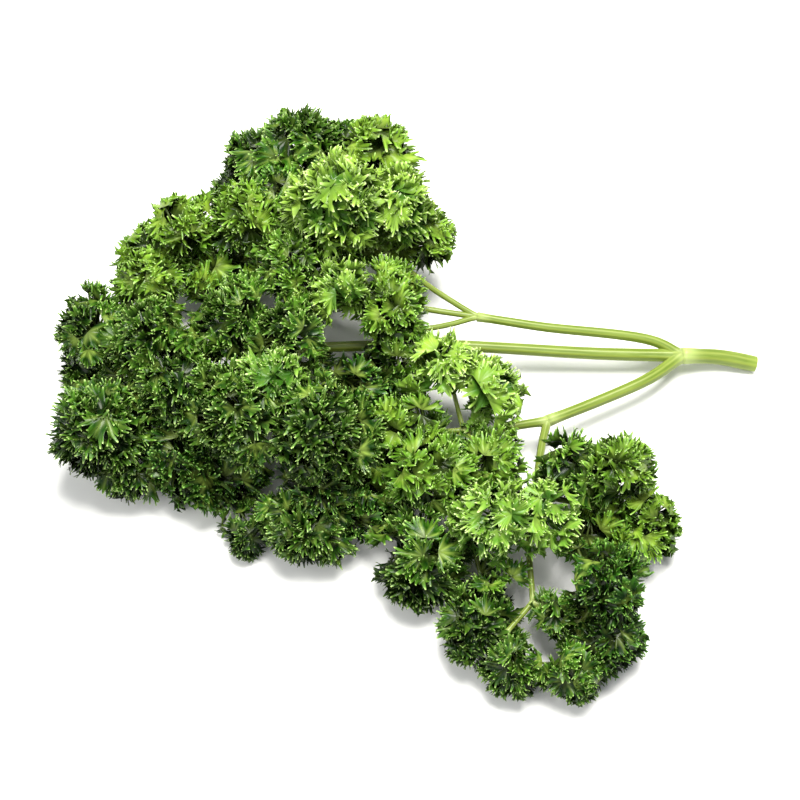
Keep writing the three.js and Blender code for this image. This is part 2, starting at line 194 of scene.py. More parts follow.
# %% A path through a few spots
def path_through(spots, steps):
    """A smooth path. Between two spots it is the cubic that leaves and arrives along each spot's
    own direction: the mean of its two neighbouring steps, weighted to the shorter."""
    spots = np.array([place(spot) for spot in spots])
    steps_between = np.diff(spots, axis=0)
    times = np.concatenate([[0], np.cumsum(np.linalg.norm(steps_between, axis=1) ** 0.5)])
    spans = np.diff(times)[:, None]
    speeds = steps_between / spans
    share = spans[:-1] / (spans[:-1] + spans[1:])
    inner = speeds[:-1] * (1 - share) + speeds[1:] * share
    leaving = np.vstack([speeds[:1], inner, speeds[-1:]])
    at = np.linspace(0, times[-1], steps)
    leg = np.clip(np.searchsorted(times, at, side="right") - 1, 0, len(spots) - 2)
    span = spans[leg]
    t = (at - times[leg])[:, None] / span
    start, end = spots[leg], spots[leg + 1]
    return ((2 * t**3 - 3 * t**2 + 1) * start + (t**3 - 2 * t**2 + t) * span * leaving[leg]
            + (3 * t**2 - 2 * t**3) * end + (t**3 - t**2) * span * leaving[leg + 1])


def length_of(path):
    """The sum of the distances between a path's neighbouring points."""
    return np.linalg.norm(np.diff(path, axis=0), axis=1).sum()


longest = max(length_of(path_through(spots, 40)) for _, _, spots in STRETCHES)
print("the longest stretch measures", round(longest), "mm")

# %% Rods along paths
def rods(paths, radii):
    """Rings carried along paths shaped (rods, rings, 3), with radii shaped (rods, rings, sides). At
    angle a a ring has the path's point plus radius * (cos a * side + sin a * over)."""
    along = unit(np.gradient(paths, axis=1))
    axis = np.argmin(np.abs(along).max(axis=1), axis=1)
    side = unit(np.cross(along, np.eye(3)[axis][:, None, :]))
    over = np.cross(along, side)
    angle = np.linspace(0, 2 * np.pi, radii.shape[2], endpoint=False)
    ring = np.cos(angle)[:, None] * side[:, :, None] + np.sin(angle)[:, None] * over[:, :, None]
    return paths[:, :, None] + radii[..., None] * ring


print("points of a short rod:", rods(np.eye(3)[None], np.ones((1, 3, 6))).shape)

# %% [markdown]
# ## Writing a mesh
# Editing commands can build a mesh face by face, but that is slow for a million triangles. Whole
# arrays of points and corners take one call each. Every point also carries marks, such as how far
# out on its leaflet it lies, and the materials read them.

# %% Putting a piece into the scene
def make_piece(name, node, points, faces, crisp, marks, finish):
    """Writes points (mm), arrays of faces and one number a point for each mark into the mesh that
    stands for a CAD node. An edge between two crisp points is sharp."""
    mesh = bpy.data.meshes.new(name)
    mesh.vertices.add(len(points))
    mesh.vertices.foreach_set("co", (points * MM).astype(np.float32).ravel())
    corners = np.concatenate([some.ravel() for some in faces]).astype(np.int32)
    sides = np.concatenate([np.full(len(some), some.shape[1]) for some in faces])
    mesh.loops.add(len(corners))
    mesh.loops.foreach_set("vertex_index", corners)
    mesh.polygons.add(len(sides))
    mesh.polygons.foreach_set("loop_start", (np.cumsum(sides) - sides).astype(np.int32))
    mesh.update(calc_edges=True)
    mesh.shade_smooth()
    ends = np.zeros(2 * len(mesh.edges), np.int32)
    mesh.edges.foreach_get("vertices", ends)
    mesh.edges.foreach_set("use_edge_sharp", crisp[ends].reshape(-1, 2).all(axis=1))
    for mark, values in marks.items():
        layer = mesh.attributes.new(mark, "FLOAT", "POINT")
        layer.data.foreach_set("value", values.astype(np.float32).ravel())
    piece = bpy.data.objects.new(name, mesh)
    bpy.context.scene.collection.objects.link(piece)
    mesh.materials.append(finish)
    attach(piece, "root")
    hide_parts(node)


print("slots:", sorted(set(slot_of.values())))

# %% [markdown]
# ## The colours
# Leaf and stalk are the same living tissue: a clear, waxy skin over green cells. We could paint one
# green, but a leaf never has one. Its ribs are pale because they hold no green cells, its teeth end
# in a pale bead, partly their own paler green and partly painted highlight, and its underside is
# duller. Each of those is a mix of two colours by a number that the mesh carries, so the pattern
# follows the surface.

# %% Colour and shader helpers
def linear(hex_colour):
    """An sRGB hex colour as the linear numbers that a shader takes."""
    channels = [int(hex_colour[i:i + 2], 16) / 255 for i in (0, 2, 4)]
    return (*[c / 12.92 if c <= 0.04045 else ((c + 0.055) / 1.055) ** 2.4 for c in channels], 1)


def put(tree, kind, sockets=None, out=None, **settings):
    """Adds a shader node and returns the output named out, or the first in use. settings are its
    own properties, and sockets gives inputs, by identifier, a value or another node's output."""
    made = tree.nodes.new("ShaderNode" + kind)
    for name, value in settings.items():
        setattr(made, name, value)
    inputs = {socket.identifier: socket for socket in made.inputs}
    for name, value in (sockets or {}).items():
        if isinstance(value, bpy.types.NodeSocket):
            tree.links.new(value, inputs[name])
        else:
            inputs[name].default_value = value
    return next((s for s in made.outputs if s.enabled and out in (None, s.name)), None)


def mixed(tree, share, first, second):
    """A colour from first, at share 0, to second, at 1, each a hex colour or a node's output."""
    first, second = (linear(c) if isinstance(c, str) else c for c in (first, second))
    return put(tree, "Mix", {"Factor_Float": share, "A_Color": first, "B_Color": second},
               data_type="RGBA")


def ranged(tree, value, low, high, start=0.0, end=1.0):
    """start where value is up to low, end where it is from high on, and evenly in between."""
    return put(tree, "MapRange", {"Value": value, "From Min": low, "From Max": high,
                                  "To Min": start, "To Max": end})


def maths(tree, operation, first, second):
    """Two numbers, each a value or a node's output, added, multiplied or compared."""
    return put(tree, "Math", {"Value": first, "Value_001": second}, operation=operation)


def new_finish(name):
    """An empty material and its node tree."""
    finish = bpy.data.materials.new(name)
    finish.use_nodes = True
    finish.node_tree.nodes.clear()
    return finish, finish.node_tree


print("mid grey in linear numbers:", round(linear("808080")[0], 3))

# %% [markdown]
# ## The skin of the stalk
# A parsley stalk is a bundle of stiff strands under a thin skin, so it shows pale ribs, greener
# grooves and fine streaks along it. Plain noise would give blots as wide as they are long. Read
# through the marks around and along the stalk, the second of them squeezed, the same noise becomes
# streaks that follow every bend.

# %% Waxy skin of the stalk
STALK_GREENS = {"rib": ("76852F", "7E8C3A"), "groove": ("566F1C", "637827"),
                "streak": "90A04A", "joint": "B2C278", "cut": "8A9E40"}
STREAKS_PER_MM, STREAK_SQUEEZE = 1.6, 0.08
STALK_PATCH = 14.0  # mm


def waxy_stalk():
    """A fresh parsley stalk, grown and cut: pale ribs, greener grooves, fine streaks along it and
    almost white tissue at its joints. The eye gets a soft satin gloss along each rib."""
    finish, tree = new_finish("waxy_parsley_stalk")
    groove, pale, cut, around, along = (
        put(tree, "Attribute", out="Fac", attribute_name=name)
        for name in "groove pale cut around along".split())
    streak_place = put(tree, "CombineXYZ", {"X": around, "Y": along})
    streaks = put(tree, "TexNoise", {"Vector": streak_place, "Scale": STREAKS_PER_MM,
                                     "Detail": 3.0}, out="Fac")
    spot = put(tree, "TexCoord", out="Object")
    patches = put(tree, "TexNoise", {"Vector": spot, "Scale": 1 / (STALK_PATCH * MM)}, out="Fac")
    rib = mixed(tree, patches, *STALK_GREENS["rib"])
    hollow = mixed(tree, patches, *STALK_GREENS["groove"])
    colour = mixed(tree, groove, rib, hollow)
    streaked = ranged(tree, streaks, 0.4, 0.7, 0.0, 0.45)
    colour = mixed(tree, streaked, colour, STALK_GREENS["streak"])
    colour = mixed(tree, pale, colour, STALK_GREENS["joint"])
    colour = mixed(tree, cut, colour, STALK_GREENS["cut"])
    bumps = put(tree, "Bump", {"Height": streaks, "Strength": 0.25, "Distance": 0.15 * MM})
    shader = put(tree, "BsdfPrincipled", {
        "Base Color": colour, "Normal": bumps, "Roughness": 0.38, "Specular IOR Level": 0.36,
        "Subsurface Weight": 0.12, "Subsurface Radius": (0.8, 1.0, 0.4), "Subsurface Scale": MM})
    put(tree, "OutputMaterial", {"Surface": shader})
    return finish


STALK_SKIN = waxy_stalk()
print("stalk finish has", len(STALK_SKIN.node_tree.nodes), "nodes")

# %% [markdown]
# ## The stalk
# A plain cylinder with a striped texture would give the stripes and not the way light slides along
# them, so the ribs are real: each ring's radius rises and falls around it. The ribs fade on the
# thin stalklets, where they are too fine to see.

# %% Where each head's leaflets are joined
UP = np.array([0.0, 0.0, 1.0])
TURNED_UP = 0.5  # of a head's axis, from the way of its stalklet
NECK_BELOW = 0.5  # head radii from the middle back to the neck
LOWEST_NECK = 1.2  # mm above the table
head_forks = np.array([place(fork) for fork, _, _ in HEADS])
head_middles = np.array([place(middle) for _, middle, _ in HEADS])
head_radii = np.array([radius for _, _, radius in HEADS], float)
head_axes = unit(unit(head_middles - head_forks) + TURNED_UP * UP)
head_necks = head_middles - head_axes * NECK_BELOW * head_radii[:, None]
head_necks[:, 2] = np.maximum(head_necks[:, 2], LOWEST_NECK)
print("heads from", head_radii.min(), "to", head_radii.max(), "mm in radius")

# %% The shape of a stretch, and of the cut end
RINGS, SIDES = 26, 32
RIBS, RIB_DEPTH = 8, 0.07
RIBS_FROM, RIBS_FADE = 0.5, 0.8  # mm of radius: ribs begin at the first and are full at their sum
JOINT_SWELL, JOINT_LENGTH = 0.16, 1.6  # shares of the radius
JOINT_PALE = 0.7
STREAK_SHIFT = 20  # keeps the streaks of two stretches apart
CUT_RADII = np.array([0.04, 0.35, 0.8, 0.97])  # shares of the radius of the ring behind them
CUT_PLACES = np.array([0.03, 0.02, 0.01, 0.0])  # shares of the way to that ring
CUT_MARKS = np.array([0.0, 0.2, 1.0, 0.6])
print("ribs stand out", RIB_DEPTH * STRETCHES[0][0], "mm at most")

# %% The stretches of the stalk
def stretch_points(first, last, spots):
    """One stretch. Its radius goes evenly from first to last, swells by a share near both of its
    ends, and rises and falls by the ribs as cos(ribs * angle)."""
    path = path_through(spots, RINGS)
    walked = np.linspace(0, 1, RINGS)
    length = length_of(path)
    to_joint = np.minimum(walked, 1 - walked) * length
    if spots[0] == "cut":
        to_joint = (1 - walked) * length
    swell = np.exp(-(to_joint / (JOINT_LENGTH * first)) ** 2)
    angle = np.linspace(0, 2 * np.pi, SIDES, endpoint=False)
    wave = 0.5 - 0.5 * np.cos(RIBS * angle)
    depth = RIB_DEPTH * np.clip((first - RIBS_FROM) / RIBS_FADE, 0, 1)
    even = first + (last - first) * walked
    radii = (even * (1 + JOINT_SWELL * swell))[:, None] * (1 - depth * wave)
    marks = {"groove": wave, "pale": JOINT_PALE * swell[:, None], "cut": 0,
             "around": angle * first + STREAK_SHIFT * first,
             "along": (walked * length * STREAK_SQUEEZE)[:, None]}
    marks = {name: values + np.zeros(radii.shape) for name, values in marks.items()}
    if spots[0] == "cut":
        rings = len(CUT_RADII)
        radii[:rings] = radii[rings] * CUT_RADII[:, None]
        path[:rings] = path[0] + (path[rings] - path[0]) * CUT_PLACES[:, None]
        marks["cut"][:rings] = CUT_MARKS[:, None]
    return path, radii, marks


made = [stretch_points(*stretch) for stretch in STRETCHES]
points = rods(np.array([path for path, _, _ in made]), np.array([radii for _, radii, _ in made]))
marks = {name: np.array([m[name] for _, _, m in made]).ravel() for name in made[0][2]}
faces = copies_of(rod_faces(RINGS, SIDES), len(made))
print("stretches:", points.shape)

# %% [markdown]
# ## The stalklets
# A thin stalklet carries each head and sags a little under its weight. A straight rod would look
# stiff. A path that adds t * (1 - t) times a sag to the straight way bends it evenly and still
# meets the fork and the head. Stalk and stalklets grew as one, so they share one mesh.

# %% Paths that sag
def bowed_paths(starts, ends, bow, rings):
    """Paths that leave starts for ends and sag by bow: start + t * way + 4 t (1 - t) * bow."""
    t = np.linspace(0, 1, rings)[None, :, None]
    return starts[:, None] * (1 - t) + ends[:, None] * t + 4 * t * (1 - t) * bow[:, None]


THIN_RINGS, THIN_SIDES = 9, 10
THIN_BOW = 0.12  # of its length
LOWEST_STALKLET = 0.7  # mm above the table
way = head_necks - head_forks
reach = np.linalg.norm(way, axis=1, keepdims=True)
paths = bowed_paths(head_forks, head_necks, -head_axes * THIN_BOW * reach, THIN_RINGS)
paths[..., 2] = np.maximum(paths[..., 2], LOWEST_STALKLET)
print("the longest stalklet measures", round(reach.max()), "mm")

# %% Stalklets, from each fork to the neck of each head
THIN_START, THIN_END = 0.62, 0.5  # radii, mm
THIN_FOOT, FOOT_LENGTH = 0.25, 0.12  # mm more at the fork, over this share of the way
THIN_RIBS = 4
RESTING = 0.02  # mm above the table
walked = np.linspace(0, 1, THIN_RINGS)
thin = THIN_START + (THIN_END - THIN_START) * walked
thin = thin + THIN_FOOT * np.exp(-(walked / FOOT_LENGTH) ** 2)
radii = np.broadcast_to(thin[None, :, None], (len(HEADS), THIN_RINGS, THIN_SIDES))
stalklets = rods(paths, radii)
angle = np.linspace(0, 2 * np.pi, THIN_SIDES, endpoint=False)
to_end = np.minimum(walked, 1 - walked)
stalklet_marks = {"groove": 0.5 + 0.3 * np.cos(THIN_RIBS * angle),
                  "pale": 0.5 * np.exp(-(to_end / FOOT_LENGTH) ** 2)[:, None], "cut": 0,
                  "around": angle * 0.6,
                  "along": walked[None, :, None] * reach[:, :, None] * STREAK_SQUEEZE}
print("stalklets:", stalklets.shape)

# %% Stalk and stalklets as one piece
more_faces = copies_of(rod_faces(THIN_RINGS, THIN_SIDES), len(HEADS))
faces = np.vstack([faces, more_faces + points.size // 3])
marks = {name: np.concatenate([marks[name], (stalklet_marks[name] + 0 * radii).ravel()])
         for name in marks}
points = np.vstack([points.reshape(-1, 3), stalklets.reshape(-1, 3)])
points[:, 2] = np.maximum(points[:, 2], RESTING)
crisp = np.zeros(len(points), bool)
crisp[3 * SIDES:4 * SIDES] = True  # the ring round the cut face
make_piece("ribbed_stalk", "stalk", points, [faces], crisp, marks, STALK_SKIN)
print("stalk:", 2 * len(faces), "triangles")

# %% [markdown]
# ## The leaflets
# A curly parsley leaflet starts as a flat fan cut into lobes and teeth. Its margin then grows
# faster than its middle, so it crumples into waves. A flat leaf bent by a modifier would wave all
# over. Here each leaflet is a fan of rays, and the angle at which they bend out of it swings from
# ray to ray, so the foot stays calm and the margin is crisped. Shorter rays cut lobes and teeth.

# %% The places on a leaflet that get a point
TEETH = 28
REACH = np.array([0.0, 0.46, 0.77, 1.0])
IN_TOOTH = np.array([0.0, 0.26, 0.5, 0.74])
NOTCH, LEFT, CENTRE, RIGHT = range(4)
COLUMNS = 4 * TEETH + 1
TOOTH, PART = np.arange(COLUMNS) // 4, np.arange(COLUMNS) % 4
ACROSS = 2 * (TOOTH + IN_TOOTH[PART]) / TEETH - 1
IS_NOTCH = (PART == NOTCH).astype(float)
WAVED = np.where(IS_NOTCH, ACROSS,
                 ACROSS + IN_TOOTH[CENTRE] * 2 / TEETH - IN_TOOTH[PART] * 2 / TEETH)
print(TEETH, "teeth on", COLUMNS, "rays")

# %% The faces of a leaflet
def leaflet_faces():
    """The triangles of one leaflet, and the grid points that they use. All rays share the foot. A
    tooth has one point on the first ring, one in the middle of the second, two at its blunt tip
    and a notch on each side. The under sheet is the upper one turned over, on one outline."""
    grid = np.arange(len(REACH) * COLUMNS).reshape(len(REACH), COLUMNS)
    foot, ring = grid[0, COLUMNS // 2:COLUMNS // 2 + 1], grid[1, CENTRE::4]
    notch, centre = grid[2, NOTCH::4], grid[2, CENTRE::4]
    left, right = grid[3, LEFT::4], grid[3, RIGHT::4]
    before, after = notch[:-1], notch[1:]
    gaps = [(np.repeat(foot, TEETH - 1), ring[1:], ring[:-1]), (ring[:-1], ring[1:], after[:-1])]
    teeth = [(ring, centre, before), (ring, after, centre),
             (before, centre, left), (centre, right, left), (centre, after, right)]
    upper = np.vstack([np.stack(corners, axis=-1) for corners in gaps + teeth])
    outline = np.concatenate([foot, ring[[0, -1]], notch, left, right])
    inside = np.concatenate([ring[1:-1], centre])
    number = np.zeros(grid.size, int)
    number[outline] = np.arange(len(outline))
    number[inside] = len(outline) + np.arange(len(inside))
    under = number.copy()
    under[inside] += len(inside)
    return np.vstack([number[upper], under[upper[:, ::-1]]]), outline, inside


LEAFLET_FACES, OUTLINE, INSIDE = leaflet_faces()
LEAFLET_POINTS = len(OUTLINE) + 2 * len(INSIDE)
print("a leaflet has", len(LEAFLET_FACES), "triangles and", LEAFLET_POINTS, "points")

# %% How leaflets differ: each pair is a lowest and a highest draw
ANY_TURN = (0, 6.3)
PLEATS, PLEAT_SHIFT, SHIFTS = (3.4, 5.4), (0.5, 1.2), (1.5, 4)
CRISPING, LEAN, LOBES = (0.6, 1.0), (-0.1, 0.5), [3, 4, 5]
LOBE_CUT, FAN = (0.15, 0.55), (70, 105)  # of the length; half of the fan, in degrees
LOBE_LEAN, TOOTH_SWAY = 0.45, 0.06  # standard deviations
TOOTH_CURL, CURL_SPREAD = 0.35, 0.7
UNEVEN, NOTCHED = 0.12, 0.7
print("a fan opens over", [2 * half for half in FAN], "degrees")

# %% What all leaflets share, lengths in mm
BLADE, FURROW = 0.24, 0.35
PLEAT_LIFT, PLEAT_SWAY, ROUNDED = 0.05, 0.1, 0.35
LOWEST_BLADE = 0.3
STRIP = 0.5 * (REACH[1:] + REACH[:-1])[:, None]
CRISP = np.clip((STRIP - 0.2) / 0.65, 0, 1) ** 1.3
CUT = np.clip(STRIP * 2 - 0.4, 0, 1)
OUTLINED = np.zeros(len(REACH) * COLUMNS)
OUTLINED[OUTLINE] = 1
OUTLINED = OUTLINED.reshape(len(REACH), COLUMNS) * (1 - IS_NOTCH)
print("crisping of each strip:", CRISP.ravel().round(2))

# %% Leaflets as fans of bending rays
def both_sheets(values, under):
    """The values of a leaflet's outline, of its upper sheet and, from under, of its under sheet."""
    flat = values.reshape(len(values), len(REACH) * COLUMNS, -1)
    below = under.reshape(flat.shape)
    return np.concatenate([flat[:, OUTLINE], flat[:, INSIDE], below[:, INSIDE]], axis=1)


def leaflets(feet, out, over, lengths, rng):
    """Leaflets shaped (count, points, 3). A ray is a chain of strips that adds up length *
    cos(turn) along the ray and length * sin(turn) out of the fan. The turn is the leaflet's lean,
    its lobe's and the crisping, a wave across the fan that grows towards the margin, and on the
    last strip the tooth's curl. Gaps between lobes shorten the outer strips, notches the second."""
    count = len(feet)

    def draw(low, high, *shape):
        return rng.uniform(low, high, (count, *shape))

    pleat = np.pi * draw(*PLEATS, 1) * (WAVED + 1) + draw(*ANY_TURN, 1)
    pleat += draw(*PLEAT_SHIFT, 1) * np.sin(np.pi * draw(*SHIFTS, 1) * WAVED + draw(*ANY_TURN, 1))
    crisping = draw(*CRISPING, 1) * np.sin(pleat)
    lobes = rng.choice(LOBES, count)[:, None]
    lobe = np.minimum(lobes * (WAVED + 1) / 2, lobes - 0.01).astype(int)
    lobe_turn = np.take_along_axis(rng.normal(0, LOBE_LEAN, (count, max(LOBES))), lobe, axis=1)
    curl = rng.normal(TOOTH_CURL, CURL_SPREAD, (count, TEETH + 1))[:, TOOTH]
    turn = (draw(*LEAN, 1, 1) + lobe_turn[:, None]) * STRIP + crisping[:, None] * CRISP
    turn[:, -1] += curl
    gap = (0.5 + 0.5 * np.cos(np.pi * lobes * (WAVED + 1))) ** 3 * draw(*LOBE_CUT, 1)
    uneven = 1 + draw(-UNEVEN, UNEVEN, TEETH + 1)[:, TOOTH]
    edge = (1 - ROUNDED * WAVED**4) * lengths[:, None] * uneven
    steps = np.diff(REACH)[:, None] * edge[:, None] * (1 - gap[:, None] * CUT)
    steps[:, 1] *= 1 - draw(0.0, NOTCHED, COLUMNS) ** 2 * IS_NOTCH
    forward, lift = (np.pad(np.cumsum(steps * part(turn), axis=1), ((0, 0), (1, 0), (0, 0)))
                     for part in (np.cos, np.sin))
    reach = REACH[:, None]
    lift += PLEAT_LIFT * lengths[:, None, None] * reach * np.sin(pleat)[:, None]
    lift -= FURROW * IS_NOTCH * reach
    angle = ACROSS * np.radians(draw(*FAN, 1))
    sway = PLEAT_SWAY * np.cos(pleat) + rng.normal(0, TOOTH_SWAY, (count, TEETH + 1))[:, TOOTH]
    angle = angle[:, None] + sway[:, None] * reach**3
    side = np.cross(out, over)
    middle = (feet[:, None, None] + (forward * np.cos(angle))[..., None] * out[:, None, None]
              + (forward * np.sin(angle))[..., None] * side[:, None, None]
              + lift[..., None] * over[:, None, None])
    middle[..., 2] = np.maximum(middle[..., 2], LOWEST_BLADE)
    facing = unit(np.cross(np.gradient(middle, axis=2), np.gradient(middle, axis=1)) + 1e-9)
    points = both_sheets(middle + 0.5 * BLADE * facing, middle - 0.5 * BLADE * facing)
    points[:, :len(OUTLINE)] = middle.reshape(count, -1, 3)[:, OUTLINE]
    rib = (0.5 - 0.5 * np.cos(np.pi * lobes * (ACROSS + 1))) ** 4
    return points, leaflet_marks(rib, draw(0, 1, 1, 1))


def leaflet_marks(rib, tone):
    """What every point carries: how far out it lies, whether it is on the edge of a tooth, in a
    furrow or on a rib, its leaflet's tone, and whether it is on the under sheet."""
    marks = {"reach": REACH[:, None], "edge": OUTLINED, "furrow": IS_NOTCH, "rib": rib[:, None],
             "tone": tone, "under": 0}
    grid = np.zeros((len(rib), len(REACH), COLUMNS))
    return {name: both_sheets(grid + values, grid + values + (name == "under"))[..., 0]
            for name, values in marks.items()}


print("a leaflet has up to", max(LOBES), "lobes")

# %% [markdown]
# ## The skin of a leaflet
# Between its ribs the blade is deep green and waxy, so it shines in small spots where it curls.
# Light also comes through it and makes the crisped margin glow. A glossy shader gives the first,
# and a fifth of a translucent one the second. The furrows between the teeth and the inside of a
# head are dark. Lamps alone leave both too light, because real blades are thinner and closer
# together, so two marks on the mesh paint shade into them. The pale tips and edges of the teeth are
# partly their own paler green and partly painted highlight.

# %% Crisped leaf skin
LEAF_GREENS = {"young": "A0C43C", "foot": "B4CC66", "rib": "B0D058", "under": "7FA648"}
LEAF_PATCH, LEAF_GRAIN, GRAIN_HEIGHT = 5.0, 0.5, 0.1  # mm
SHINES_THROUGH = 0.2


def crisped_leaf(name, painted_hollow_shade, deep, blade, tips, rim_highlight):
    """A fresh parsley leaflet, grown and unwashed: a waxy green blade, a pale rib to every lobe, a
    pale rim round every tooth, partly its own paler green and partly painted highlight, and a
    duller underside. Painted shade darkens the furrows between the teeth and the inside of a head.
    """
    finish, tree = new_finish(name)
    reach, edge, furrow, rib, tone, under, depth = (
        put(tree, "Attribute", out="Fac", attribute_name=mark)
        for mark in "reach edge furrow rib tone under depth".split())
    spot = put(tree, "TexCoord", out="Object")
    patches = put(tree, "TexNoise", {"Vector": spot, "Scale": 1 / (LEAF_PATCH * MM)}, out="Fac")
    # The tone mark holds the fork's and the leaflet's own tone plus painted light on the upper side
    # of a head, so the blade, tip and young greens that it drives carry painted light too.
    mottle_and_painted_light = ranged(tree, maths(tree, "ADD", patches, tone), 0.5, 1.5)
    colour = mixed(tree, mottle_and_painted_light, deep, blade)
    outer = maths(tree, "MULTIPLY", ranged(tree, reach, 0.5, 1.0, 0.0, 0.75),
                  ranged(tree, tone, -0.2, 0.7, 0.5, 1.0))
    # Painted shade: the depth mark darkens a head towards its inside and its lower side, and the
    # furrows between the teeth are darkened as well.
    shaded = maths(tree, "MAXIMUM", ranged(tree, depth, 0.03, 0.34, 0.0, 0.92),
                   maths(tree, "MULTIPLY", furrow, 0.75))
    layers = [
        (ranged(tree, tone, 0.7, 1.5, 0.0, 0.8), LEAF_GREENS["young"]), (outer, tips),
        (ranged(tree, reach, 0.05, 0.45, 0.5, 0.0), LEAF_GREENS["foot"]),
        (maths(tree, "MULTIPLY", rib, ranged(tree, reach, 0.3, 0.9, 0.85, 0.0)),
         LEAF_GREENS["rib"]),
        # Painted highlight: a pale rim along the outer edge of each tooth, partly its own paler
        # green.
        (maths(tree, "MULTIPLY", ranged(tree, edge, 0.55, 1.0), reach), rim_highlight),
        (maths(tree, "MULTIPLY", under, 0.35), LEAF_GREENS["under"]), (shaded, painted_hollow_shade)]
    for share, laid_over in layers:
        colour = mixed(tree, share, colour, laid_over)
    grain = put(tree, "TexNoise", {"Vector": spot, "Scale": 1 / (LEAF_GRAIN * MM),
                                   "Detail": 1.0}, out="Fac")
    bumps = put(tree, "Bump", {"Height": grain, "Strength": 0.3, "Distance": GRAIN_HEIGHT * MM})
    skin = put(tree, "BsdfPrincipled", {"Base Color": colour, "Normal": bumps, "Roughness": 0.33,
                                        "Specular IOR Level": 0.24})
    glow = put(tree, "BsdfTranslucent", {"Color": colour})
    both = put(tree, "MixShader", {"Fac": SHINES_THROUGH, "Shader": skin, "Shader_001": glow})
    put(tree, "OutputMaterial", {"Surface": both})
    return finish


# Three skins of one leaf, partly the leaves' own age and partly painted light and shade; the dark
# one is a shaded copy. Each gives the material's name, then painted shade for hollows and furrows,
# deep, blade, tips, and rims, the last two partly painted highlight.
SKIN_COLOURS = {
    "leaf_light": ("young_and_lit_crisped_leaf", "2E5E16", "5C9C20", "90C040", "B6DA68", "E2F2B0"),
    "leaf_mid": ("grown_crisped_leaf", "041A02", "0D3805", "306A0A", "7AB434", "C8E68A"),
    "leaf_dark": ("shaded_crisped_leaf", "030E01", "072404", "194A07", "4E9220", "A4D46A"),
}
LEAF_SKINS = {slot: crisped_leaf(*colours) for slot, colours in SKIN_COLOURS.items()}
print("leaf finishes:", sorted(LEAF_SKINS))

# %% [markdown]
# ## The heads
# In a head the leaflets stand on short pale stems that part from one neck, like the sticks of an
# umbrella, and together their margins make a dome. Scattering them at random would leave bald
# spots and knots. Each one is turned from the last by the golden angle, which spreads any number
# evenly, and only then nudged a little.

# %% Directions spread evenly around an axis
GOLDEN = math.pi * (3 - math.sqrt(5))
LEAN_NUDGE, TURN_NUDGE = 0.12, 0.25  # standard deviations, in radians


def spread_directions(axis, count, widest, rng):
    """count unit directions over a cap around an axis. The number n leans by the angle whose
    cosine is 1 - n / count * (1 - cos widest) and is turned by n golden angles."""
    order = np.arange(count)[:, None] + 0.5
    lean = np.arccos(1 - order / count * (1 - math.cos(widest)))
    lean = lean + rng.normal(0, LEAN_NUDGE, (count, 1))
    turn = order * GOLDEN + rng.normal(0, TURN_NUDGE, (count, 1)) + rng.uniform(*ANY_TURN)
    side = unit(np.cross(axis, [0.3, 0.9, 0.1]))
    round_axis = np.cos(turn) * side + np.sin(turn) * np.cross(axis, side)
    return np.cos(lean) * axis + np.sin(lean) * round_axis


print("turn between two leaflets:", round(math.degrees(GOLDEN), 1), "degrees")

# %% [markdown]
# ## How the heads differ
# The heads differ in tone: partly by the leaves' own age, young and light at a leaf's tips and old
# and deep green underneath, and partly by painted light and shade. Some have also opened into wide
# fans. A random tone for each head would scatter the light ones over the whole spray. So both are
# set for each fork, and the heads that grow from it share them.

# %% The tone of a fork's heads, deep green at 0 and light at 1, partly their own age and partly painted light and shade, and how far they opened
FORK_TONES = {
    "upperTop": 1.6, "upperFar": 0.4, "upperEnd": 1.1, "upperMiddle": 0.85, "upperLow": 1.05,
    "middleUp": 1.2, "middleEnd": 0.15, "middleThird": 0.2, "middleUnder": -0.1,
    "middleSecond": 0.25, "middleFirst": 0.0, "middleDown": -0.1, "middleFoot": 0.1,
    "lowerLeft": 0.95, "lowerDown": 0.65, "lowerRight": 1.1, "lowerUnder": 0.1,
    "lowerFoot": 0.5, "lowerFootLeft": 0.35, "lowerFootRight": 0.3,
}
OPENED = {"upperTop": 0.75, "upperEnd": 0.2, "middleUp": 0.35, "lowerLeft": 0.45,
          "lowerDown": 0.35, "lowerUnder": 0.2, "lowerRight": 0.2}
print(len(FORK_TONES), "forks,", len(OPENED), "of them open")

# %% [markdown]
# ## Leaflets between the heads
# From above, the heads close up into one canopy: small leaflets also stand along the stalklets,
# and outer ones stretch into the room beside their head. Bigger heads would close the gaps too,
# but lose their round shape. So a head's own leaflets reach out only towards a neighbour or an
# empty spot.

# %% Leaflets on the way to a head
WAYSIDE = 9
WAYSIDE_PART, WAYSIDE_LENGTHS = (0.3, 1.0), (4.2, 5.6)  # shares of the way, and mm
WAYSIDE_SPREAD, WAYSIDE_ON, WAYSIDE_UP = 0.35, 0.5, 0.25


def wayside_leaflets(number, rng):
    """Feet, directions, facings and lengths of leaflets left and right of one stalklet."""
    t = rng.uniform(*WAYSIDE_PART, (WAYSIDE, 1))
    way = head_necks[number] - head_forks[number]
    feet = head_forks[number] + t * way
    sides = unit(np.cross(way, UP)) * np.where(np.arange(WAYSIDE) % 2, 1, -1)[:, None]
    out = unit(sides + rng.normal(0, WAYSIDE_SPREAD, (WAYSIDE, 3)) + WAYSIDE_ON * unit(way)
               + WAYSIDE_UP * UP)
    over = unit(UP - (out @ UP)[:, None] * out)
    return feet, out, over, rng.uniform(*WAYSIDE_LENGTHS, WAYSIDE)


print("up to", WAYSIDE, "leaflets along each stalklet")

# %% Leaflets that reach for the heads beside them
REACH_OUT, OVERLAP = 4.2, 1.4  # mm
CLOSED = np.array([place(spot) for spot in (
    (-130, 10.5, 9), (-131, 6, 17), (-129.5, 3, 23), (-123.5, -7, 18), (-123.5, -9.5, 22))])
FURTHEST = np.array([REACH_OUT] * len(HEADS) + [1.5 * REACH_OUT] * len(CLOSED))
AIMED, AIM_FADE = 0.65, 0.3  # cosines


